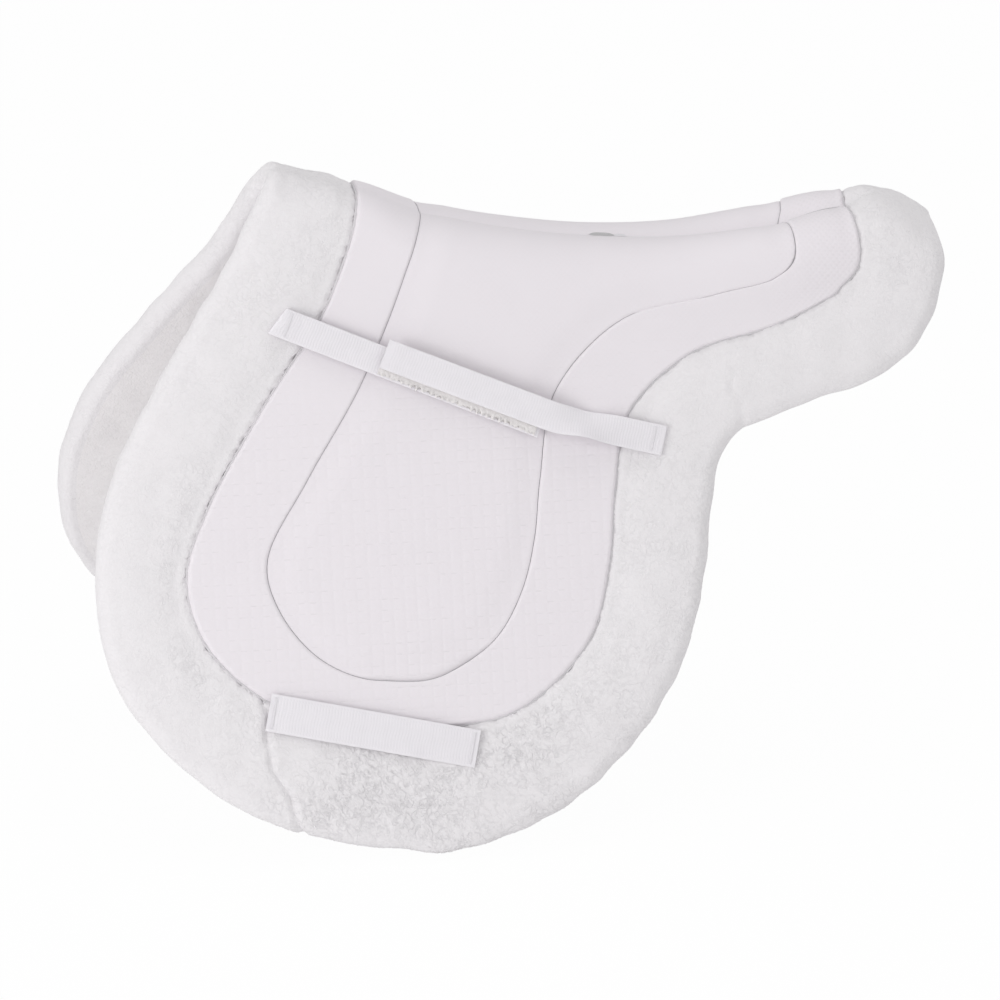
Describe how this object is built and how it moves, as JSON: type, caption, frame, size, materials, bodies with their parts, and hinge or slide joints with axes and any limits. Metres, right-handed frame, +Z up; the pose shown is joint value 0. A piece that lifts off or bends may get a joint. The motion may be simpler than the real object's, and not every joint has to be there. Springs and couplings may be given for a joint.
{
  "type": "saddle pad",
  "caption": "Close contact saddle pad with quilted panels inside a rolled fleece edge, a fold at the spine, billet straps that lift, and girth loops.",
  "frame": {"origin": "underside of the spine at its lowest place, where the pad rests on the back", "axes": "+Z up, -X towards the withers, -Y towards the horse's left side, which is the side the picture shows"},
  "size_m": [0.7301, 0.455, 0.5345],
  "materials": {
    "fleece": "matte",
    "lining_fleece": "matte",
    "quilted_cotton": "matte",
    "foam": "matte",
    "webbing": "matte",
    "hook_tape": "matte",
    "thread": "matte"
  },
  "bodies": {
    "spine": {"withers_roll": "fleece", "withers_band": "quilted_cotton", "cantle_roll": "fleece", "cantle_band": "quilted_cotton", "spine_foam": "foam", "spine_lining": "lining_fleece", "left_seat_top": "quilted_cotton", "right_seat_top": "quilted_cotton"},
    "left_flap": {"left_front_roll": "fleece", "left_flap_roll": "fleece", "left_cantle_end_roll": "fleece", "left_quilt_band": "quilted_cotton", "left_seat_panel": "quilted_cotton", "left_foam_core": "foam", "left_fleece_lining": "lining_fleece", "left_girth_strap": "webbing", "left_girth_front_bar_tack": "thread", "left_girth_rear_bar_tack": "thread", "left_front_billet_anchor": "webbing", "left_front_billet_bar_tack": "thread", "left_rear_billet_anchor": "webbing", "left_rear_billet_bar_tack": "thread"},
    "left_front_billet": {"left_front_billet_strap": "webbing", "left_loop_tape": "hook_tape"},
    "left_rear_billet": {"left_rear_billet_strap": "webbing", "left_hook_tape": "hook_tape"},
    "right_flap": {"right_front_roll": "fleece", "right_flap_roll": "fleece", "right_cantle_end_roll": "fleece", "right_quilt_band": "quilted_cotton", "right_seat_panel": "quilted_cotton", "right_foam_core": "foam", "right_fleece_lining": "lining_fleece", "right_girth_strap": "webbing", "right_girth_front_bar_tack": "thread", "right_girth_rear_bar_tack": "thread", "right_front_billet_anchor": "webbing", "right_front_billet_bar_tack": "thread", "right_rear_billet_anchor": "webbing", "right_rear_billet_bar_tack": "thread"},
    "right_front_billet": {"right_front_billet_strap": "webbing", "right_loop_tape": "hook_tape"},
    "right_rear_billet": {"right_rear_billet_strap": "webbing", "right_hook_tape": "hook_tape"}
  },
  "joints": [
    {"name": "left_flap_fold", "type": "hinge", "parent": "spine", "child": "left_flap", "pos_m": [0, 0, 0.04], "axis": [-1, 0, 0], "range_deg": [-22, 50], "deforming": ["withers_roll", "withers_band", "cantle_roll", "cantle_band", "spine_foam", "spine_lining", "left_seat_top"]},
    {"name": "left_rear_billet_lift", "type": "hinge", "parent": "left_flap", "child": "left_rear_billet", "pos_m": [-0.01432, -0.11014, -0.1084], "axis": [0.2577, 0.362, 0.8959], "range_deg": [0, 120]},
    {"name": "left_front_billet_lift", "type": "hinge", "parent": "left_flap", "child": "left_front_billet", "pos_m": [-0.29773, -0.071, -0.01235], "axis": [-0.4065, -0.3423, -0.8471], "range_deg": [0, 42]},
    {"name": "right_flap_fold", "type": "hinge", "parent": "spine", "child": "right_flap", "pos_m": [0, 0, 0.04], "axis": [1, 0, 0], "range_deg": [-22, 50], "deforming": ["withers_roll", "withers_band", "cantle_roll", "cantle_band", "spine_foam", "spine_lining", "right_seat_top"]},
    {"name": "right_rear_billet_lift", "type": "hinge", "parent": "right_flap", "child": "right_rear_billet", "pos_m": [-0.01432, 0.11014, -0.1084], "axis": [-0.2577, 0.362, -0.8959], "range_deg": [0, 120]},
    {"name": "right_front_billet_lift", "type": "hinge", "parent": "right_flap", "child": "right_front_billet", "pos_m": [-0.29773, 0.071, -0.01235], "axis": [0.4065, -0.3423, 0.8471], "range_deg": [0, 42]}
  ],
  "couplings": [
    {"joint": "left_front_billet_lift", "follows": "left_rear_billet_lift", "ratio": 0.35},
    {"joint": "right_front_billet_lift", "follows": "right_rear_billet_lift", "ratio": 0.35}
  ]
}
